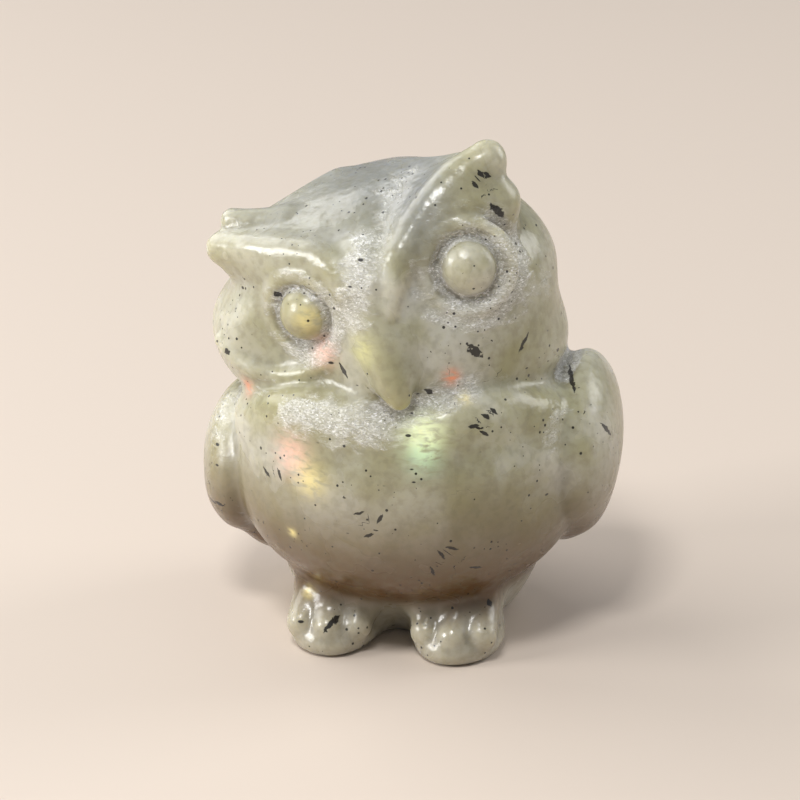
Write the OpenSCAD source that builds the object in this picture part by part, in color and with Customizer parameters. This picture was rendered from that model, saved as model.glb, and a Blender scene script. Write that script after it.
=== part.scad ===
// A small owl carved from one piece of labradorite and polished.
// The owl stands on z = 0 and faces -Y, with its own left side on +X.
// The whole owl is one stone, so it is one sub-part. Each carved feature has its own module.
// Every size but the height is in millimetres on an owl of the design height.

/* [Owl] */
// Height from the soles to the top of the higher ear tuft
owl_height = 38; // [20:1:80]

/* [Head] */
// How far the head is cocked, its left side up, in degrees
head_roll = 20; // [16:1:24]
// How far the face is turned towards the owl's right, in degrees
head_yaw = 7; // [0:1:12]
// Half the width of the skull
skull_half_width = 12.1; // [11.6:0.1:12.6]
// Thickness of the crown, where it runs out to the brows
crown_thickness = 1.7; // [1.4:0.1:2.4]
// Thickness of the brow roll at the lower ear tuft
brow_thickness = 2; // [1.6:0.1:2.6]
// Width of the hook of the beak at its widest
beak_width = 3.4; // [2.8:0.1:4.4]

/* [Eyes] */
// Diameter of the domed eyeball
eyeball_diameter = 4.2; // [3.4:0.1:4.6]
// Diameter of the raised ring around the eyeball, along the middle of its bead
eye_ring_diameter = 6; // [5.4:0.1:6.4]
// Diameter of the hollow that the eye sits in, at its rim
hollow_diameter = 8.4; // [7.6:0.1:9]
// Depth of that hollow
hollow_depth = 1.4; // [1:0.1:1.8]

/* [Body] */
// Half the width of the belly
belly_half_width = 12.8; // [12.4:0.1:13]
// Thickness of a folded wing, where it stands out from the side
wing_thickness = 6.2; // [5.8:0.1:7]

/* [Feet] */
// Distance between the middles of the two feet
foot_spacing = 9; // [8.8:0.1:9.8]
// Distance between the middles of two neighbouring toes
toe_spacing = 1.9; // [1.7:0.1:2.1]
// Diameter of a toe
toe_diameter = 2.6; // [2.3:0.1:3]

/* [Hidden] */
stone_colour = [0.66, 0.66, 0.57];
design_height = 37.19;
sides = [-1, 1];

head_middle = [-1.2, -0.4, 25.2];
crown_backs = [[-2, 1.5, 7.4], [2.5, 1.5, 6.9]];
eyes = [[-3.8, -9, 1.4], [8.9, -7.8, 1.5]];
eye_turns = [-17, 23];
ring_thickness = 0.9;
wing_shoulders = [[-12.2, 0.4, 11.1], [12.4, 1, 13.6]];
wing_tips = [[-10.3, 3, 6.4], [11, 3.2, 8.9]];

// Each brow from the ear tuft to the beak, and its thickness next to that at the lower tuft.
// A root fills the corner between each brow and the hollow of the eye below it.
brows = [
    [[-9.3, -5, 6.8], [-6.4, -6.2, 6.3], [-1.6, -7.7, 5.2], [0.4, -9.4, 2.6], [0.7, -9.7, 0.6]],
    [[10.65, -2.5, 7.4], [8.7, -3.9, 6.9], [5.4, -6.9, 5], [3.9, -9.2, 2.2], [3.2, -9.8, 0.6]],
];
brow_tapers = [[1, 0.95, 0.85, 0.6, 0.4], [1.4, 1.4, 0.85, 0.65, 0.45]];
brow_roots = [
    [[-8.8, -4.4, 5.5], [-5.2, -6.4, 5], [-1.6, -7.9, 4]],
    [[10.1, -3, 4.5], [8.6, -4.5, 5.2], [5.3, -7.3, 3.5]],
];
root_thicknesses = [[1.8, 2, 1.4], [4, 3.5, 1.8]];
ruff = [[-9.6, -5.6, 16.6], [-5, -9.2, 18], [1.2, -9.9, 17.2], [5.6, -8.7, 18.4], [10, -3.6, 17]];

// Facets: the big eggs, and the small beads, ledges and rings.
egg_facets = 32;
bead_facets = 12;
eye_facets = 24;

// A sphere stretched to three half sizes.
module egg(middle, half_sizes) {
    translate(middle) resize(2 * half_sizes) sphere(r = max(half_sizes), $fn = egg_facets);
}

// A rounded roll through a row of points, with a diameter at each point.
module bead(points, diameters) {
    for (i = [1 : len(points) - 1])
        hull()
            for (j = [i - 1, i])
                translate(points[j]) sphere(d = diameters[j], $fn = bead_facets);
}

// A flat ledge with round edges, spread between its corners.
module ledge(corners, thickness) {
    hull()
        for (corner = corners)
            translate(corner) sphere(d = thickness, $fn = bead_facets);
}

module belly() {
    egg([0.2, -1.3, 11.9], [belly_half_width, 11.8, 9.9]);
}

// The chest, with the puffed edge that dips under the beak.
module chest() {
    egg([0.4, -3.5, 15.2], [11.6, 9, 5.3]);
    bead(ruff, [4, 4.4, 4.2, 4.4, 4]);
}

// The straight back, from the shoulders down to the haunches that the owl rests on.
module trunk() {
    hull() {
        egg([0, 1.4, 17], [11.2, 10.6, 7.5]);
        egg([-0.3, 1.6, 4.5], [9.4, 8.2, 7.5]);
    }
}

module jowls() {
    egg([-1.4, -0.2, 21.6], [12.7, 10.3, 5.8]);
}

module skull() {
    egg([-0.3, 0, -0.8], [skull_half_width, 10.4, 8.5]);
    egg([-1, 1.5, 3.5], [9.3, 7.6, 4.8]);
    egg([1.8, -7.4, 2], [2.2, 2.6, 3.4]);
}

// The crown runs from the top of the head out to both brows, and ends in the ear tufts.
module crown() {
    for (i = [0, 1])
        for (j = [0 : 2])
            ledge([brows[i][j], brows[i][j + 1], crown_backs[i]], crown_thickness);
    bead([[-8.3, -4, 8.25], [-4.8, -3.6, 7.1]], [1.7, 2.2]);
}

module brow(i) {
    bead(brows[i], brow_thickness * brow_tapers[i]);
    bead(brow_roots[i], root_thicknesses[i]);
}

// Places its children on an eye, with +Z pointing out of the eye.
module on_eye(i) {
    translate(eyes[i]) rotate([90, 0, eye_turns[i]]) children();
}

module eye_hollow() {
    r = (pow(hollow_diameter / 2, 2) + pow(hollow_depth, 2)) / (2 * hollow_depth);
    translate([0, 0, r - hollow_depth]) sphere(r = r, $fn = egg_facets);
}

module eye() {
    bed = -hollow_depth;
    translate([0, 0, bed]) sphere(d = eyeball_diameter, $fn = eye_facets);
    translate([0, 0, bed + 0.2])
        rotate_extrude($fn = egg_facets)
            translate([eye_ring_diameter / 2, 0]) circle(d = ring_thickness, $fn = bead_facets);
    translate([0, 0, bed - 1.8]) cylinder(d = eye_ring_diameter, h = 2, $fn = egg_facets);
}

module beak() {
    bead([[1.5, -9.1, 0.8], [1.8, -9.7, -3], [2, -10.7, -5.3]], beak_width * [0.65, 1, 0.5]);
}

module head() {
    translate(head_middle) rotate([0, -head_roll, -head_yaw]) {
        difference() {
            union() {
                skull();
                crown();
            }
            for (i = [0, 1]) on_eye(i) eye_hollow();
        }
        for (i = [0, 1]) brow(i);
        for (i = [0, 1]) on_eye(i) eye();
        beak();
    }
}

module wing(i) {
    hull() {
        egg(wing_shoulders[i], [wing_thickness / 2, 6.8, 6]);
        egg(wing_tips[i], [wing_thickness / 2 - 0.4, 4.5, 3.8]);
    }
}

module tail() {
    ledge([[-3, 8.2, 9], [3, 8.2, 9], [0, 11, 2.3], [0, 6, 2]], 3);
}

module foot(side) {
    x = side * foot_spacing / 2;
    egg([x, -6.1, 0.9], [3.3, 4.5, 1.9]);
    egg([x, -5.8, 2.6], [2.9, 3.3, 2.2]);
    for (i = [-1 : 1])
        bead(
            [[x + toe_spacing * i, -9.2 + 0.6 * abs(i), 1.9], [x + 1.6 * i, -6.4, 3.3]],
            [toe_diameter, toe_diameter]
        );
}

module owl_figurine() {
    color(stone_colour) scale(owl_height / design_height) intersection() {
        union() {
            belly();
            chest();
            trunk();
            jowls();
            head();
            tail();
            for (i = [0, 1]) wing(i);
            for (side = sides) foot(side);
        }
        translate([-25, -25, 0]) cube(50);
    }
}

owl_figurine();
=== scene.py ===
"""A small owl carved from one piece of labradorite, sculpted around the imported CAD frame.

The owl's surface is a signed distance field: a number for each point in space that is negative
inside the stone and positive outside it. Eggs, rolls and ledges are blended together and
grooves are carved out, as on the real stone, and the zero level becomes the mesh.
All sizes of the sculpture are in millimetres at the design height, as in the CAD source.
"""
import math

import bpy
import numpy as np
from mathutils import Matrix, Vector


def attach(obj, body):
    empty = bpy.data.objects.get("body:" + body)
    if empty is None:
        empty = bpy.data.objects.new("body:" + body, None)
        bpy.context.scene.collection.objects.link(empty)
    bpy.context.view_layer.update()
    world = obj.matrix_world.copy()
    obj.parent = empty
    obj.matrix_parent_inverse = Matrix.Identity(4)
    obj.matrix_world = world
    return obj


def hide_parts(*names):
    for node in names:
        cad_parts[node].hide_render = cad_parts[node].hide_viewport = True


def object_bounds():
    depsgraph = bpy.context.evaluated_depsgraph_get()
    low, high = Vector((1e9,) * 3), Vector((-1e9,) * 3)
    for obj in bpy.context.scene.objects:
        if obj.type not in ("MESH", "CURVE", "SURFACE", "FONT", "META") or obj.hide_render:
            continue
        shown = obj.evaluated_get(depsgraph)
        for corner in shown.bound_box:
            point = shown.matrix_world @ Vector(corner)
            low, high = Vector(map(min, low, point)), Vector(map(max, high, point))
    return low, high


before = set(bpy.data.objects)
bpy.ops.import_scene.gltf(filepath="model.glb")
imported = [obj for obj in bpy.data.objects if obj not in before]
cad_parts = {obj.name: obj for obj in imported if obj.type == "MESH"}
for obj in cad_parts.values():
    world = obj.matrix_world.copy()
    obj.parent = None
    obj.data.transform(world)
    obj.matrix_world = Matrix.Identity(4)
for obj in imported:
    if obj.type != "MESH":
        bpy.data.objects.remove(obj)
cad_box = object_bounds()

# ---- sculpture: sizes in millimetres
DESIGN_HEIGHT = 37.25
# The height of the waves that hand polishing leaves on the stone.
RIPPLE = 0.018
# The head's own axes: how far it is cocked and turned, in degrees, and where its middle is.
HEAD_ROLL = 20.0
HEAD_YAW = 7.0
HEAD_MIDDLE = (-1.2, -0.4, 25.2)
# The owl's right side, then its left side.
SIDES = (-1, 1)

# The eggs of the body: the middle and the three half sizes.
BELLY = ((0.2, -1.3, 11.9), (12.8, 11.8, 9.9))
TRUNK = ((0, 1.4, 17.0), (11.2, 10.6, 7.5))
CHEST = ((0.4, -3.5, 15.2), (11.6, 9.0, 5.3))
HAUNCHES = ((-0.3, 1.6, 4.5), (9.4, 8.2, 7.5))
JOWLS = ((-1.4, -0.2, 21.6), (12.7, 10.3, 5.8))
# The eggs of the head, in the head's axes.
SKULL = ((-0.3, 0, -0.8), (12.1, 10.4, 8.5))
SKULL_TOP = ((-1.0, 1.5, 3.5), (9.3, 7.6, 4.8))
BETWEEN_EYES = ((1.8, -7.4, 2.0), (2.2, 2.6, 3.4))

# Each eye: where its middle lies on the face in the head's own axes, which way it looks, the radii
# of its ball, ring and hollow, how deep the hollow is, and the wide shallow dish around it.
EYES = {
    -1: dict(
        place=(-3.8, -9.0, 1.4), look=(-0.3, -1.0, 0.0), ball=2.05, ring=2.95,
        hollow=3.7, depth=1.2, dish=5.0, dish_depth=0.5,
    ),
    1: dict(
        place=(8.85, -7.8, 1.5), look=(0.42, -1.0, 0.06), ball=2.1, ring=3.05,
        hollow=4.6, depth=1.6, dish=6.0, dish_depth=1.0,
    ),
}
# Each brow from the ear tuft to the beak: points in the head's axes and the radius at each.
BROWS = {
    -1: (
        (-9.3, -5.0, 6.8, 1.0), (-6.4, -6.2, 6.3, 0.95), (-4.0, -6.9, 5.8, 0.9),
        (-1.6, -7.7, 5.2, 0.85), (-0.2, -8.6, 4.2, 0.75), (0.4, -9.4, 2.6, 0.6), (0.7, -9.7, 0.6, 0.4),
    ),
    1: (
        (10.65, -2.5, 7.4, 1.4), (8.7, -3.9, 6.9, 1.4), (6.9, -5.5, 6.1, 1.05),
        (5.4, -6.9, 5.0, 0.85), (4.5, -8.2, 3.7, 0.75), (3.9, -9.2, 2.2, 0.65), (3.2, -9.8, 0.6, 0.45),
    ),
}
# The second lobe of the ear tuft on the owl's right, above the brow.
TUFT_LOBE = ((-8.3, -4.0, 8.25, 0.85), (-7.0, -4.0, 7.7, 1.0), (-4.8, -3.6, 7.1, 1.1))
# The thick root of each brow, between the brow and the eye's hollow.
BROW_ROOTS = {
    -1: ((-8.8, -4.4, 5.5, 0.9), (-6.2, -6.0, 5.2, 1.0), (-3.8, -6.9, 4.7, 0.9), (-1.6, -7.9, 4.0, 0.7)),
    1: ((10.1, -3.0, 4.5, 2.0), (8.6, -4.5, 5.2, 1.75), (6.7, -5.9, 4.7, 1.3), (5.3, -7.3, 3.5, 0.9)),
}
# The point on top of the head that each half of the crown runs back to, and half its thickness.
CROWN = {-1: ((-2.0, 1.5, 7.4), 0.8), 1: ((2.5, 1.5, 6.9), 0.75)}
# Each wing: the shoulder egg's middle and half sizes, then the tip egg's.
WINGS = {
    -1: ((-12.2, 0.4, 11.1), (3.0, 6.6, 5.6), (-10.3, 3.0, 6.4), (2.6, 4.4, 3.7)),
    1: ((12.4, 1.0, 13.6), (2.9, 7.0, 6.4), (11.0, 3.2, 8.9), (2.5, 4.6, 3.9)),
}
# The crest under the face on the owl's right, as x and z in the head's axes, and its radius.
FACE_RIM = ((-11.4, 0.6), (-9.6, -1.3), (-7.6, -2.3), (-5.4, -2.6), (-3.2, -2.2))
FACE_RIM_RADIUS = 0.35
# The puffed upper edge of the chest, from wing to wing, dipping under the beak.
RUFF = (
    (-9.6, -5.6, 16.6, 2.0), (-6.4, -8.4, 17.9, 2.2), (-2.6, -9.8, 18.2, 2.2), (1.2, -9.9, 17.2, 2.1),
    (4.4, -9.3, 18.4, 2.2), (7.8, -7.0, 18.3, 2.2), (10.0, -3.6, 17.0, 2.0),
)
# The beak from its root to the tip of its hook, in the head's axes.
BEAK = (
    (1.5, -9.1, 0.8, 1.0), (1.7, -9.3, -1.4, 1.65), (1.8, -9.7, -3.0, 1.65),
    (1.9, -10.3, -4.3, 1.3), (2.0, -10.7, -5.3, 0.85),
)
# The tail is a ledge between three corners, and TAIL_RADIUS is half its thickness.
TAIL = ((-3.0, 8.2, 9.0), (3.0, 8.2, 9.0), (0, 10.8, 2.4))
TAIL_RADIUS = 1.5
# The feet: how far each is from the middle between them, where that middle is, and the toes.
FOOT_OFFSET = 4.5
FEET_MIDDLE = 0.1
TOES = (-1, 0, 1)
TOE_SPACING = 1.95


def blend(a, b, soft):
    """Joins two fields with a fillet about as wide as soft."""
    h = np.clip(0.5 + 0.5 * (b - a) / soft, 0, 1)
    return b * (1 - h) + a * h - soft * h * (1 - h)


def carve(a, b, soft):
    """Cuts field b out of field a, with softened edges."""
    return -blend(-a, b, soft)


def unit(v):
    v = np.asarray(v, np.float32)
    return v / np.linalg.norm(v)


def egg(p, middle, half):
    """A sphere stretched to three half sizes."""
    q = (p - np.float32(middle)) / np.float32(half)
    k0 = np.sqrt((q * q).sum(-1)) + 1e-9
    q = q / np.float32(half)
    k1 = np.sqrt((q * q).sum(-1)) + 1e-9
    return k0 * (k0 - 1) / k1


def rod(p, start, end, r0, r1):
    """A straight round rod that goes from radius r0 to radius r1."""
    start, end = np.float32(start), np.float32(end)
    along = end - start
    q = p - start
    t = np.clip(q @ along / (along @ along), 0, 1)
    q = q - t[..., None] * along
    return np.sqrt((q * q).sum(-1)) - (r0 + (r1 - r0) * t)


def smooth_path(points, steps):
    """Points of a smooth curve through the given ones, with any further columns carried along."""
    p = np.asarray(points, float)
    p = np.vstack([2 * p[0] - p[1], p, 2 * p[-1] - p[-2]])
    out = []
    for i in range(1, len(p) - 2):
        a, b, c, d = p[i - 1 : i + 3]
        for t in np.arange(steps) / steps:
            out.append(0.5 * (2 * b + (c - a) * t + (2 * a - 5 * b + 4 * c - d) * t**2
                              + (3 * b - a - 3 * c + d) * t**3))
    return np.array(out + [p[-2]])


def nearby(p, points, reach, shape):
    """A small shape's field, worked out only near its points and just estimated elsewhere."""
    low, high = np.float32(points).min(0), np.float32(points).max(0)
    gap = np.maximum(np.maximum(low - p, p - high), 0)
    field = np.sqrt((gap * gap).sum(-1))
    close = field < reach
    field[close] = shape(p[close])
    return field


def roll(p, points, steps=8):
    """A round roll along a smooth curve. Each point is x, y, z and the radius there."""
    path = smooth_path(points, steps)
    pairs = list(zip(path[:-1], path[1:]))

    def shape(q):
        return np.minimum.reduce([rod(q, a[:3], b[:3], a[3], b[3]) for a, b in pairs])

    return nearby(p, path[:, :3], 3.5, shape)


def ledge(p, corners, r):
    """A flat three-cornered plate of thickness 2r with round edges."""
    a, b, c = (np.float32(v) for v in corners)
    normal = unit(np.cross(b - a, c - a))
    edges = ((a, b), (b, c), (c, a))
    rim = np.minimum.reduce([rod(p, s, e, 0, 0) for s, e in edges])
    within = np.logical_and.reduce([(p - s) @ np.cross(normal, e - s) >= 0 for s, e in edges])
    return np.where(within, np.abs((p - a) @ normal), rim) - r


def hoop(p, middle, axis, radius, thick):
    """A ring around an axis, with a round section of radius thick."""
    q = p - np.float32(middle)
    h = q @ axis
    across = np.sqrt(np.maximum((q * q).sum(-1) - h * h, 0))
    return np.sqrt((across - radius) ** 2 + h * h) - thick


def head_axes():
    """The head's axes as the columns of a matrix: rolled about Y, then turned about Z."""
    yaw, tilt = math.radians(-HEAD_YAW), math.radians(-HEAD_ROLL)
    turn = np.array([[math.cos(yaw), -math.sin(yaw), 0], [math.sin(yaw), math.cos(yaw), 0], [0, 0, 1]])
    cock = np.array([[math.cos(tilt), 0, math.sin(tilt)], [0, 1, 0], [-math.sin(tilt), 0, math.cos(tilt)]])
    return (turn @ cock).astype(np.float32)


def body_field(p):
    """The belly, trunk, chest and haunches."""
    field = egg(p, *BELLY)
    field = blend(field, egg(p, *TRUNK), 3.0)
    field = blend(field, egg(p, *CHEST), 2.0)
    field = blend(field, roll(p, RUFF), 1.5)
    return blend(field, egg(p, *HAUNCHES), 2.5)


def bowl(h, eye, radius, depth):
    """The ball that cuts a hollow of the given rim radius and depth into the face at an eye."""
    look = unit(eye["look"])
    r = (radius**2 + depth**2) / (2 * depth)
    return egg(h, np.float32(eye["place"]) + look * (r - depth), (r, r, r))


def crown_field(h, side):
    """Half of the crown: a fan of ledges from the top of the head out to the brow."""
    back, r = CROWN[side]
    front = [np.float32(point[:3]) for point in BROWS[side]]
    fan = [ledge(h, (a, b, back), r) for a, b in zip(front[:-2], front[1:-1])]
    return np.minimum.reduce(fan)


def skull_field(p, h):
    """The head without its brows, eyes and beak. h holds the points p in the head's axes."""
    field = egg(h, *SKULL)
    field = blend(field, egg(h, *SKULL_TOP), 1.5)
    field = blend(field, egg(p, *JOWLS), 2.5)
    for side in SIDES:
        field = blend(field, crown_field(h, side), 1.5)
    field = blend(field, roll(h, TUFT_LOBE), 0.8)
    field = blend(field, egg(h, *BETWEEN_EYES), 1.2)
    for side in SIDES:
        eye = EYES[side]
        field = carve(field, bowl(h, eye, eye["dish"], eye["dish_depth"]), 0.8)
        field = carve(field, bowl(h, eye, eye["hollow"], eye["depth"]), 0.7)
    return field


def settle(p, field, step=(0, 1, 0)):
    """Moves points along a direction until they lie on the zero level of a field."""
    p = np.array(p, np.float32)
    for _ in range(60):
        p += 0.8 * field(p)[:, None] * np.float32(step)
    return p


def face_rim():
    """The crest's points, laid on the skull's surface in the head's axes."""
    axes = head_axes()
    start = [(x, -14.0, z) for x, z in FACE_RIM]
    return settle(start, lambda h: skull_field(h @ axes.T + np.float32(HEAD_MIDDLE), h))


def eye_field(field, h, eye):
    """Adds an eye to the field: a ring, an inner ring, the groove inside it and the domed ball."""
    look, place = unit(eye["look"]), np.float32(eye["place"])
    floor = place - look * eye["depth"]
    field = blend(field, hoop(h, floor + look * 0.4, look, eye["ring"], 0.45), 0.5)
    field = blend(field, hoop(h, floor + look * 0.1, look, eye["ball"] + 0.4, 0.4), 0.3)
    field = carve(field, hoop(h, floor + look * 0.5, look, eye["ball"] + 0.05, 0.12), 0.15)
    return blend(field, egg(h, floor - look * 0.1, (eye["ball"],) * 3), 0.15)


def foot_field(p, side):
    """A foot: the pad on the ground, the ankle above it and three toes."""
    x = FOOT_OFFSET * side + FEET_MIDDLE
    field = egg(p, (x, -6.1, 0.9), (3.3, 4.5, 1.9))
    field = blend(field, egg(p, (x, -5.8, 2.6), (2.9, 3.3, 2.2)), 1.0)
    for i in TOES:
        tip = (x + TOE_SPACING * i, -9.2 + 0.6 * abs(i), 1.9)
        root = (x + 1.6 * i, -6.4, 3.3)
        field = blend(field, rod(p, tip, root, 1.15, 1.35), 0.35)
    return field


def ripples(p):
    """The low, uneven waves that hand polishing leaves on the stone."""
    waves = ((0.9, 0.4, 0.5), (-0.5, 0.8, 0.7), (0.6, -0.7, 1.0), (-0.8, 0.3, 1.2), (1.7, 0.5, -1.1))
    return sum(np.sin(p @ np.float32(wave) + i) for i, wave in enumerate(waves)) * RIPPLE


RIM = face_rim()


def owl_field(p):
    """The whole owl's signed distance, in millimetres, at points p."""
    h = (p - np.float32(HEAD_MIDDLE)) @ head_axes()
    nape = np.clip((p[..., 1] + 1) / 8, 0, 1)
    field = blend(body_field(p), skull_field(p, h), 0.9 + 3.5 * nape)
    for side in SIDES:
        shoulder, half, tip, tip_half = WINGS[side]
        wing = blend(egg(p, shoulder, half), egg(p, tip, tip_half), 2.5)
        field = blend(field, wing, 0.8)
    for side in SIDES:
        field = blend(field, roll(h, BROW_ROOTS[side]), 2.0)
        brow = blend(crown_field(h, side), roll(h, BROWS[side]), 0.3)
        field = blend(field, brow, 0.6)
        field = eye_field(field, h, EYES[side])
    field = blend(field, roll(h, [(x, y, z, FACE_RIM_RADIUS) for x, y, z in RIM]), 0.8)
    field = blend(field, roll(h, BEAK), 0.9)
    for side in SIDES:
        field = blend(field, foot_field(p, side), 1.7)
    field = blend(field, ledge(p, TAIL, TAIL_RADIUS), 2.5)
    return carve(field + ripples(p), p[..., 2], 0.3)


# ---- turning the field into a mesh
def samples(low, high, step):
    """The points of a grid from low to high, and their field, in full only near the surface."""
    coarse = 4
    counts = [int(math.ceil((h - l) / (step * coarse))) for l, h in zip(low, high)]
    axes = [l + step * np.arange(n * coarse) for l, n in zip(low, counts)]
    middles = [a.reshape(-1, coarse).mean(1) for a in axes]
    blocks = np.stack(np.meshgrid(*middles, indexing="ij"), -1).astype(np.float32)
    rough = owl_field(blocks.reshape(-1, 3)).reshape(counts)
    field = rough.repeat(coarse, 0).repeat(coarse, 1).repeat(coarse, 2)
    points = np.stack(np.meshgrid(*axes, indexing="ij"), -1).astype(np.float32)
    near = np.abs(field) < 1.6 * step * coarse
    field[near] = owl_field(points[near])
    return points, field


def surface(low, high, step):
    """The zero level as vertices and four-sided faces: one vertex in each cell that it crosses."""
    points, field = samples(low, high, step)
    inside = field < 0
    cells = np.array(field.shape)
    total = np.zeros((*cells, 3), np.float32)
    count = np.zeros(cells, np.int32)
    crossings = []
    for axis in range(3):
        start = [slice(1, -1)] * 3
        end = [slice(1, -1)] * 3
        start[axis], end[axis] = slice(0, -1), slice(1, None)
        f0, f1 = field[tuple(start)], field[tuple(end)]
        found = np.argwhere((f0 < 0) != (f1 < 0))
        shift = np.array([0 if i == axis else 1 for i in range(3)])
        at = found + shift
        a, b = f0[tuple(found.T)], f1[tuple(found.T)]
        cross = points[tuple(at.T)].copy()
        cross[:, axis] += step * a / (a - b)
        u, v = np.eye(3, dtype=int)[(axis + 1) % 3], np.eye(3, dtype=int)[(axis + 2) % 3]
        corners = [at, at - u, at - u - v, at - v]
        for corner in corners:
            np.add.at(total, tuple(corner.T), cross)
            np.add.at(count, tuple(corner.T), 1)
        crossings.append((corners, inside[tuple(at.T)]))
    used = count > 0
    number = np.full(cells, -1)
    number[used] = np.arange(used.sum())
    vertices = total[used] / count[used][:, None]
    faces = []
    for corners, outward in crossings:
        quad = np.stack([number[tuple(c.T)] for c in corners], -1)
        quad[~outward] = quad[~outward][:, ::-1]
        faces.append(quad)
    return vertices, np.vstack(faces)


def slope(points, reach=0.05):
    """The field's value and gradient at the points."""
    value = owl_field(points)
    steps = np.eye(3, dtype=np.float32) * reach
    gradient = [(owl_field(points + s) - owl_field(points - s)) / (2 * reach) for s in steps]
    return value, np.stack(gradient, -1)


def press(vertices, rounds=2):
    """Moves the vertices onto the zero level, and gives the surface's direction at each."""
    for _ in range(rounds):
        value, gradient = slope(vertices)
        move = value[:, None] * gradient / ((gradient**2).sum(-1)[:, None] + 1e-6)
        length = np.linalg.norm(move, axis=1)[:, None]
        vertices = vertices - move * np.minimum(1, 0.12 / (length + 1e-9))
    value, gradient = slope(vertices)
    return vertices, gradient / (np.linalg.norm(gradient, axis=1)[:, None] + 1e-9)


# ---- where the stone's marks are: x and z in millimetres, laid on the front of the owl
# The eyes are near (-6, 25) and (6, 30), the tip of the beak near (1, 21), the higher tuft near (6, 36).
# Groups of black needles: the middle, how far the group spreads, how many needles it has, how long
# and how wide they are, and the angle that they run at, in degrees up from +X.
NEEDLE_GROUPS = (
    ((7, 33), 0, 1, 1.4, 0.5, -50),
    ((6.5, 34.5), 1.2, 3, 0.6, 0.3, -50),
    ((-8, 26.5), 0, 1, 0.7, 0.4, -25),
    ((-3, 22), 0, 1, 1.2, 0.3, -55),
    ((-12, 21.5), 0, 1, 0.5, 0.4, -45),
    ((9, 23.5), 0, 1, 1.3, 0.3, 65),
    ((6, 23.5), 0.4, 2, 1.2, 0.3, -35),
    ((3, 21), 0, 1, 0.7, 0.3, -25),
    ((12, 19), 0, 1, 2.2, 0.3, -50),
    ((7, 19), 1.2, 4, 0.7, 0.25, -25),
    ((14.5, 16), 0, 1, 1.5, 0.3, -65),
    ((0, 11.5), 1.5, 3, 0.8, 0.22, 30),
    ((5, 8.5), 1.8, 4, 0.9, 0.22, -45),
    ((-8, 14), 1, 2, 0.9, 0.22, -50),
    ((-13, 9), 0.8, 2, 0.7, 0.25, -10),
    ((-4, 2.5), 0, 1, 1.2, 0.4, 40),
    ((7, 4), 0, 1, 0.6, 0.35, -60),
)
NEEDLE_SEED = 4
LONGEST_NEEDLE = 3.4
# How far above or below its middle, straight through the surface, a needle still shows.
NEEDLE_BEND = 0.6
# A place well off every needle, in needle half sizes.
NO_NEEDLE = 9.0
# Patches that flash with colour, the stone's coloured reflections painted into its colour: the middle, the
# radius, the colour and how strong it is.
ROSE, GOLD, LIME = (1.0, 0.62, 0.50), (0.98, 0.85, 0.38), (0.92, 1.0, 0.62)
MINT, EMBER, OLIVE = (0.66, 0.92, 0.66), (1.0, 0.36, 0.18), (0.82, 0.82, 0.38)
PAINTED_FLASHES = (
    ((-6.5, 16), 1.5, ROSE, 0.7),
    ((-5, 14.5), 1.4, GOLD, 0.6),
    ((3, 18.5), 1.5, LIME, 1.0),
    ((3, 17), 1.3, MINT, 0.6),
    ((4.5, 22), 0.6, EMBER, 1.0),
    ((5.5, 20.5), 0.5, GOLD, 0.8),
    ((-4.5, 23), 1.1, ROSE, 0.7),
    ((-5.5, 25.5), 1.0, GOLD, 0.6),
    ((-10.5, 19), 0.7, EMBER, 0.6),
    ((-1.5, 24), 1.2, OLIVE, 0.5),
    ((-6.5, 10), 0.4, GOLD, 0.9),
    ((-6, 4), 0.5, GOLD, 0.9),
)
# Strips left rough by the carver's burr: one end, the other end, half the width and how rough.
# They lie between the brows, over the crown, along the chest's edge and where the wings begin.
ROUGH_STRIPS = (
    ((-2.5, 26.5), (-1.5, 31), 1.8, 0.9),
    ((-1, 32), (0, 34), 2.4, 0.4),
    ((-6.5, 19), (0, 19), 1.9, 0.95),
    ((0, 19), (5.5, 21), 1.5, 0.8),
    ((-13, 14.5), (-13, 16), 1.7, 0.45),
    ((11, 16.5), (11.5, 18), 1.2, 0.6),
    ((7.5, 26), (10, 27), 1.7, 0.5),
)
POINTS_IN_A_STRIP = 6
# How wide a groove may be and still count as rough, and still get painted shade.
ROUGH_REACH = 1.1
PAINTED_SHADE_REACH = 1.4
# A y in front of the whole owl, where the marks start on their way to its surface.
IN_FRONT = -16.0


def on_front(marks):
    """Points on the owl's surface straight behind each mark's x and z."""
    return settle([(x, IN_FRONT, z) for x, z in marks], owl_field)


def needles():
    """The x and z of both ends of every needle, and half its width, scattered within its group."""
    chance = np.random.default_rng(NEEDLE_SEED)
    starts, ends, widths = [], [], []
    for middle, spread, count, length, width, angle in NEEDLE_GROUPS:
        for place in middle + spread * chance.uniform(-1, 1, (count, 2)):
            turn = np.radians(angle + 20 * spread * chance.uniform(-1, 1))
            half = length / 2 * np.array((np.cos(turn), np.sin(turn)))
            starts.append(place - half)
            ends.append(place + half)
            widths.append(width / 2)
    return starts, ends, widths


def needle_field(vertices):
    """For each vertex, how far along and across the nearest needle it lies, in needle half sizes."""
    starts, ends, widths = needles()
    nearest = np.full(len(vertices), NO_NEEDLE, np.float32)
    place = np.full((len(vertices), 2), NO_NEEDLE, np.float32)
    for start, end, width in zip(on_front(starts), on_front(ends), widths):
        middle, along = (start + end) / 2, unit(end - start)
        outward = unit(slope(middle[None])[1][0])
        reach = min(np.linalg.norm(end - start) / 2, LONGEST_NEEDLE / 2)
        offset = vertices - middle
        u, v = offset @ along, offset @ unit(np.cross(outward, along))
        v += np.sign(v) * np.maximum(np.abs(offset @ outward) - NEEDLE_BEND, 0)
        away = np.maximum(np.abs(u) - reach, 0) + np.abs(v)
        closer = away < nearest
        nearest[closer] = away[closer]
        place[closer] = np.stack([u / reach, v / width], -1)[closer]
    return place


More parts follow.
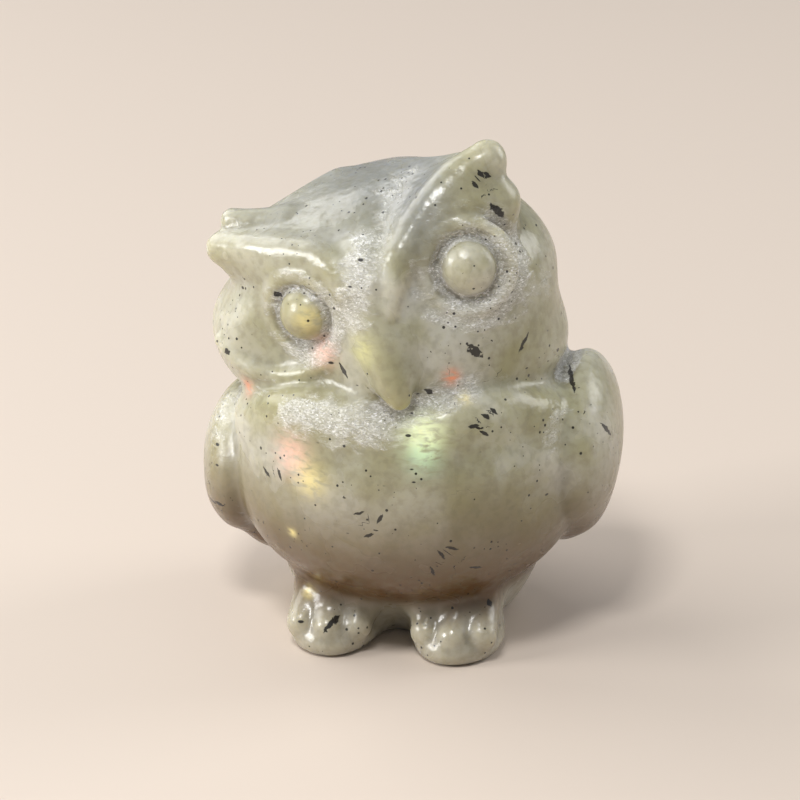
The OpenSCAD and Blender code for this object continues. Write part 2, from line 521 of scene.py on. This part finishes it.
def patch_weights(vertices, marks, radii):
    """How much of each patch each vertex has, from 1 in its middle to 0 well outside."""
    middles = on_front(marks)
    away = np.linalg.norm(vertices[:, None] - middles[None], axis=-1)
    return np.exp(-((away / np.float32(radii)) ** 2) * 1.2)


def painted_flash_colours(vertices):
    """Each vertex's painted flash reflection colour, with the flash's strength there as the alpha."""
    places, radii, flashes, strengths = zip(*PAINTED_FLASHES)
    weights = patch_weights(vertices, places, radii) * np.float32(strengths)
    total = weights.sum(1)
    colours = weights @ np.float32(flashes) / (total[:, None] + 1e-6)
    return np.concatenate([colours, np.minimum(total, 1)[:, None]], 1)


def hollow_map(vertices, normals, reach):
    """From 0 on open surfaces to 1 in grooves narrower than the reach."""
    return np.clip(1 - owl_field(vertices + normals * reach) / reach, 0, 1)


def eye_roughness(head_points, eye):
    """How rough the ring around an eyeball is, most of all on its low side."""
    offset = head_points - np.float32(eye["place"])
    depth = offset @ unit(eye["look"])
    ring = np.sqrt(np.maximum((offset**2).sum(-1) - depth**2, 0))
    low_side = 0.5 + 0.5 * (offset @ unit((0.6, 0, -0.8))) / (ring + 1e-6)
    outside_ball = np.clip((ring - eye["ball"] - 0.1) / 0.3, 0, 1)
    inside_hollow = np.clip((eye["hollow"] + 0.4 - ring) / 0.8, 0, 1)
    return outside_ball * inside_hollow * (np.abs(depth) < 4) * (0.25 + 0.7 * low_side)


def roughness_map(vertices, normals):
    """From 0 where the stone is polished to 1 in the hollows that the polishing drum didn't reach."""
    rough = np.clip(hollow_map(vertices, normals, ROUGH_REACH) * 1.6 - 0.25, 0, 1)
    rough *= np.clip((vertices[:, 2] - 4.5) / 3, 0.15, 1)
    for start, end, radius, strength in ROUGH_STRIPS:
        strip = np.linspace(start, end, POINTS_IN_A_STRIP)
        rough = np.maximum(rough, patch_weights(vertices, strip, radius).max(1) * strength)
    head_points = (vertices - np.float32(HEAD_MIDDLE)) @ head_axes()
    for eye in EYES.values():
        rough = np.maximum(rough, eye_roughness(head_points, eye))
    return np.clip(rough, 0, 1)


# ---- the mesh
VOXEL = 0.23
GRID_LOW = (-17, -15, -0.6)
GRID_HIGH = (17, 15, DESIGN_HEIGHT + 2)

vertices, faces = surface(GRID_LOW, GRID_HIGH, VOXEL)
vertices, normals = press(vertices)
low, high = vertices.min(0), vertices.max(0)
cad_low, cad_high = (np.array(corner) for corner in cad_box)
# One of the sculpture's millimetres in metres, from the CAD owl's height.
MM = float((cad_high - cad_low)[2] / (high - low)[2])
middle = np.array([(low[0] + high[0]) / 2, (low[1] + high[1]) / 2, low[2]])
cad_middle = np.array([(cad_low[0] + cad_high[0]) / 2, (cad_low[1] + cad_high[1]) / 2, cad_low[2]])

mesh = bpy.data.meshes.new("owl_stone")
mesh.from_pydata(((vertices - middle) * MM + cad_middle).tolist(), [], faces.tolist())
mesh.polygons.foreach_set("use_smooth", np.ones(len(faces), bool))
for name, kind, key, values in (
    ("rough", "FLOAT", "value", roughness_map(vertices, normals)),
    # hollow: the mask of the painted shade in grooves and eye hollows.
    ("hollow", "FLOAT", "value", hollow_map(vertices, normals, PAINTED_SHADE_REACH)),
    ("needle", "FLOAT2", "vector", needle_field(vertices)),
    # flash: the painted coloured reflections of the stone's flashes.
    ("flash", "FLOAT_COLOR", "color", painted_flash_colours(vertices)),
):
    layer = mesh.attributes.new(name, kind, "POINT")
    layer.data.foreach_set(key, np.asarray(values, np.float32).ravel())
owl = bpy.data.objects.new("owl", mesh)
bpy.context.scene.collection.objects.link(owl)


# ---- materials
# The colours of the stone itself, with painted shade for its crown, lower belly and grooves, then of its
# rough places with their painted sheen and glints, and of its needles.
MOSS, GREY_GREEN = (0.345, 0.325, 0.20), (0.475, 0.46, 0.355)
MILK, VEIL = (0.62, 0.61, 0.55), (0.33, 0.31, 0.13)
CROWN_DISH_SHADE, BROWN_AND_LOW_SHADE, FOOT_GREY = (0.24, 0.25, 0.25), (0.115, 0.055, 0.014), (0.48, 0.46, 0.37)
DARK_GRAIN, PAINTED_CREASE_SHADE = (0.17, 0.15, 0.09), (0.11, 0.09, 0.05)
FROST_SHADE, PALE_FROST_AND_SHEEN, PAINTED_GLINT = (0.42, 0.41, 0.36), (0.92, 0.92, 0.90), (0.95, 0.95, 0.93)
NEEDLE_BLACK = (0.010, 0.008, 0.007)


class Nodes:
    """Builds a material's node tree. Each method returns the new node's output socket."""

    def __init__(self, name):
        self.material = bpy.data.materials.new(name)
        self.material.use_nodes = True
        self.tree = self.material.node_tree
        self.shader = self.tree.nodes["Principled BSDF"]

    def node(self, kind, inputs=(), **settings):
        made = self.tree.nodes.new(kind)
        for key, value in settings.items():
            setattr(made, key, value)
        self.feed(made, inputs)
        return made

    def feed(self, made, inputs):
        for key, value in dict(inputs).items():
            if isinstance(value, bpy.types.NodeSocket):
                self.tree.links.new(value, made.inputs[key])
            else:
                made.inputs[key].default_value = value

    def math(self, operation, a, b=0.0, c=0.0):
        return self.node("ShaderNodeMath", {0: a, 1: b, 2: c}, operation=operation).outputs[0]

    def vector(self, operation, a, b):
        return self.node("ShaderNodeVectorMath", {0: a, 1: b}, operation=operation).outputs["Vector"]

    def scaled(self, a, amount):
        inputs = {0: a, "Scale": amount}
        return self.node("ShaderNodeVectorMath", inputs, operation="SCALE").outputs["Vector"]

    def fade(self, value, start, end, low=0.0, high=1.0):
        """Runs smoothly from low to high as value goes from start to end."""
        inputs = {"Value": value, "From Min": start, "From Max": end, "To Min": low, "To Max": high}
        return self.node("ShaderNodeMapRange", inputs, interpolation_type="SMOOTHSTEP").outputs["Result"]

    def mix(self, factor, a, b):
        """A colour that goes from a to b as factor goes from 0 to 1."""
        made = self.tree.nodes.new("ShaderNodeMix")
        made.data_type = "RGBA"
        for key, kind, value in (("Factor", "VALUE", factor), ("A", "RGBA", a), ("B", "RGBA", b)):
            socket = next(s for s in made.inputs if s.name == key and s.type == kind)
            if isinstance(value, bpy.types.NodeSocket):
                self.tree.links.new(value, socket)
            else:
                socket.default_value = (*value, 1.0) if kind == "RGBA" else value
        return next(s for s in made.outputs if s.type == "RGBA")

    def noise(self, place, scale, detail=3.0, warp=0.0):
        inputs = {"Vector": place, "Scale": scale, "Detail": detail, "Distortion": warp}
        return self.node("ShaderNodeTexNoise", inputs).outputs["Fac"]

    def attribute(self, name, output):
        return self.node("ShaderNodeAttribute", attribute_name=name).outputs[output]


def specks(n, place, cell, share, size):
    """Black specks up to about the given size, one in each of a share of the cells."""
    made = n.node("ShaderNodeTexVoronoi", {"Vector": place, "Scale": 1 / cell})
    chance = n.node("ShaderNodeSeparateColor", {"Color": made.outputs["Color"]})
    kept = n.math("LESS_THAN", chance.outputs["Red"], share)
    radius = n.math("MULTIPLY_ADD", chance.outputs["Green"], size / cell, size / cell * 0.4)
    near = n.math("SUBTRACT", radius, made.outputs["Distance"])
    return n.math("MULTIPLY", kept, n.fade(near, -0.02, 0.03))


def clouded(n, place, milk):
    """The stone: clouds, veils and grain, a crown darkened by painted shade, a lower belly browned partly
    by its own tone and partly by painted shade and a painted warm bounce, greyer feet, and painted shade
    in grooves.
    """
    spot = n.node("ShaderNodeSeparateXYZ", {"Vector": place})
    height = spot.outputs["Z"]
    clouds = n.noise(place, 0.13, 3, 0.3)
    veil = n.noise(n.vector("ADD", place, (5, 41, 3)), 0.2, 3, 0.4)
    grain = n.noise(place, 1.6, 5)
    colour = n.mix(n.fade(clouds, 0.36, 0.64), MOSS, GREY_GREEN)
    colour = n.mix(n.fade(milk, 0.44, 0.72, 0, 0.55), colour, MILK)
    colour = n.mix(n.fade(veil, 0.48, 0.68, 0, 0.4), colour, VEIL)
    # Painted shade: the top of the crown is darkened as if its dish were in shadow, but not on the tuft.
    off_the_tuft = n.fade(spot.outputs["X"], 5.5, 1.5)
    crown = n.math("MULTIPLY", n.fade(height, 28, 34, 0, 0.85), off_the_tuft)
    colour = n.mix(crown, colour, CROWN_DISH_SHADE)
    # Darker and browner towards the bottom: partly the stone's own brown, partly painted shade and a
    # painted warm bounce from below.
    colour = n.mix(n.fade(height, 17, 5, 0, 1), colour, BROWN_AND_LOW_SHADE)
    colour = n.mix(n.fade(height, 4.8, 2.5, 0, 0.8), colour, FOOT_GREY)
    colour = n.mix(n.fade(grain, 0.3, 0.6, 0.28, 0), colour, DARK_GRAIN)
    # Painted shade: grooves and eye hollows darkened by the hollow layer.
    hollow = n.attribute("hollow", "Fac")
    return n.mix(n.fade(hollow, 0.2, 0.8, 0, 0.55), colour, PAINTED_CREASE_SHADE)


def frosted(n, colour, brushed, scratches, coarse):
    """Adds the pale scratches of the places that the burr left rough, partly their own paleness and partly
    a painted sheen, and painted glints on them.
    """
    patchy = n.fade(n.noise(brushed, 0.9, 2), 0.3, 0.6, 0.4, 1)
    pale = n.math("MULTIPLY", n.fade(scratches, 0.36, 0.66), patchy)
    colour = n.mix(n.math("MULTIPLY", coarse, 0.6), colour, n.mix(pale, FROST_SHADE, PALE_FROST_AND_SHEEN))
    # Painted glints: white flecks that stand in for highlights on the rough facets.
    painted_sparkle = n.fade(n.noise(brushed, 4.5, 3, 0.8), 0.56, 0.68, 0, 0.85)
    return n.mix(n.math("MULTIPLY", coarse, painted_sparkle), colour, PAINTED_GLINT)


def painted_flashes(n, colour, place):
    """Adds the painted flash reflections, the stone's coloured labradorescence, broken into level streaks.
    """
    flash = n.node("ShaderNodeAttribute", attribute_name="flash")
    streaks = n.noise(n.vector("MULTIPLY", place, (1.2, 1.2, 3.2)), 0.9, 4, 0.6)
    strength = n.math("MULTIPLY", flash.outputs["Alpha"], n.fade(streaks, 0.25, 0.6, 0.2, 1))
    return n.mix(strength, colour, flash.outputs["Color"])


def ragged(n, distance, jitter, strength):
    """How far from a needle's middle a place is, made uneven by noise that lies around 0.5."""
    centred = n.math("ADD", distance, -strength / 2)
    return n.math("ABSOLUTE", n.math("MULTIPLY_ADD", jitter, strength, centred))


def dark_marks(n, place):
    """From 0 on bare stone to 1 on the needles and on three sizes of specks."""
    needle = n.node("ShaderNodeSeparateXYZ", {"Vector": n.attribute("needle", "Vector")})
    jitter = n.noise(place, 3.0, 3)
    along = ragged(n, needle.outputs["X"], jitter, 0.6)
    across = ragged(n, needle.outputs["Y"], jitter, 2.4)
    waist = n.math("SUBTRACT", 1.25, n.math("MULTIPLY", along, along))
    dark = n.fade(n.math("SUBTRACT", waist, across), -0.1, 0.3)
    crowd = n.noise(n.vector("ADD", place, (3, 8, 21)), 0.22, 3)
    dashes = n.vector("MULTIPLY", n.vector("ADD", place, (0.3, 0.1, 0.2)), (0.8, 0.8, 1.7))
    for where, cell, share, size in (
        (place, 0.5, n.fade(crowd, 0.42, 0.64, 0.04, 0.8), 0.08),
        (n.vector("ADD", place, (9, 4, 2)), 1.3, 0.35, 0.1),
        (dashes, 1.8, 0.4, 0.15),
    ):
        dark = n.math("MAXIMUM", dark, specks(n, where, cell, share, size))
    return dark


def relief(n, place, scratches, coarse):
    """The height in metres of the scratches and of two sizes of low waves."""
    height = n.math("MULTIPLY", scratches, n.math("MULTIPLY_ADD", coarse, 0.13, 0.008))
    for scale, depth in ((0.5, 0.14), (1.5, 0.04)):
        height = n.math("ADD", height, n.math("MULTIPLY", n.noise(place, scale, 2), depth))
    return n.math("MULTIPLY", height, MM)


def labradorite():
    """Translucent grey-green stone with milky clouds, black needles, painted flash reflections, painted
    glints, and painted shade on the crown, the lower belly and in grooves.
    """
    n = Nodes("labradorite")
    place = n.scaled(n.node("ShaderNodeTexCoord").outputs["Object"], 1 / MM)
    milk = n.noise(n.vector("ADD", place, (31, 7, 13)), 0.2, 3, 0.4)
    brushed = n.vector("MULTIPLY", n.vector("ADD", place, (17, 2, 8)), (1.0, 1.0, 2.0))
    scratches = n.noise(brushed, 2.6, 4, 1.5)
    rough = n.math("ADD", n.attribute("rough", "Fac"), -0.7)
    edge = n.math("MULTIPLY_ADD", n.noise(brushed, 0.7, 5, 0.6), 1.4, rough)
    coarse = n.fade(edge, 0.25, 0.85)
    dark = dark_marks(n, place)

    colour = clouded(n, place, milk)
    colour = frosted(n, colour, brushed, scratches, coarse)
    colour = painted_flashes(n, colour, place)
    colour = n.mix(n.math("MULTIPLY", dark, 0.95), colour, NEEDLE_BLACK)
    bumps = {"Height": relief(n, place, scratches, coarse), "Distance": 1.0, "Strength": 1.0}
    glow = n.math("MULTIPLY", n.fade(coarse, 0, 1, 0.9, 0.4), n.fade(dark, 0, 1, 1, 0))
    n.feed(n.shader, {
        "Base Color": colour,
        "Roughness": n.math("MULTIPLY_ADD", coarse, 0.1, n.fade(milk, 0.3, 0.7, 0.2, 0.3)),
        "Normal": n.node("ShaderNodeBump", bumps).outputs["Normal"],
        "IOR": 1.56,
        "Subsurface Weight": glow,
        "Subsurface Radius": (1.0, 0.92, 0.62),
        "Subsurface Scale": 3.0 * MM,
    })
    return n.material


def pale_floor():
    n = Nodes("floor")
    n.feed(n.shader, {"Base Color": (0.66, 0.57, 0.49, 1), "Roughness": 0.5})
    return n.material


owl.data.materials.append(labradorite())
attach(owl, "root")
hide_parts("owl_figurine")


# ---- floor
FLOOR_SIZE = 4.0

bpy.ops.mesh.primitive_plane_add(size=FLOOR_SIZE, location=(0, 0, float(cad_low[2])))
floor = bpy.context.object
floor.name = "floor"
floor.data.materials.append(pale_floor())


# ---- camera and light
CAMERA_AZIMUTH, CAMERA_ELEVATION = 10, 22
# The camera's distance, and the x and z of the place that it looks at, in the sculpture's millimetres.
CAMERA_DISTANCE = 230
LOOK_AT_X, LOOK_AT_Z = -0.74, 15.9


def direction(azimuth, elevation):
    """The way from the owl towards a place at that azimuth and elevation."""
    a, e = math.radians(azimuth), math.radians(elevation)
    return Vector((math.sin(a) * math.cos(e), -math.cos(a) * math.cos(e), math.sin(e)))


def aim(obj, place, target):
    """Puts an object at a place, turned towards the target, and adds it to the scene."""
    obj.location = place
    obj.rotation_euler = (Vector(target) - obj.location).to_track_quat("-Z", "Y").to_euler()
    bpy.context.scene.collection.objects.link(obj)


AIM = Vector(((LOOK_AT_X - middle[0]) * MM, -middle[1] * MM, LOOK_AT_Z * MM))
camera = bpy.data.objects.new("camera", bpy.data.cameras.new("camera"))
camera.data.lens = 142.8
camera.data.sensor_width = 36
camera.data.clip_start = 0.01
towards_camera = direction(CAMERA_AZIMUTH, CAMERA_ELEVATION)
aim(camera, AIM + towards_camera * CAMERA_DISTANCE * MM, AIM)
bpy.context.scene.camera = camera


def softbox(name, azimuth, elevation, distance, size, power, colour):
    """A soft rectangular light that faces the owl. Its distance and size are in metres."""
    light = bpy.data.lights.new(name, "AREA")
    light.shape = "RECTANGLE"
    light.size, light.size_y = size
    light.energy = power
    light.color = colour
    aim(bpy.data.objects.new(name, light), AIM + direction(azimuth, elevation) * distance, AIM)


softbox("window", -115, 35, 0.45, (0.40, 0.30), 1.2, (1.0, 0.99, 0.98))
softbox("overhead", -12, 60, 0.40, (0.10, 0.07), 0.8, (1.0, 1.0, 1.0))
softbox("left", -66, 22, 0.45, (0.16, 0.16), 1.2, (1.0, 0.99, 0.98))
softbox("right", 120, 28, 0.45, (0.20, 0.30), 0.7, (1.0, 1.0, 1.0))

world = bpy.data.worlds.new("studio")
world.use_nodes = True
world.node_tree.nodes["Background"].inputs["Color"].default_value = (0.95, 0.97, 1.0, 1)
world.node_tree.nodes["Background"].inputs["Strength"].default_value = 0.3
bpy.context.scene.world = world
bpy.context.scene.view_settings.view_transform = "Standard"
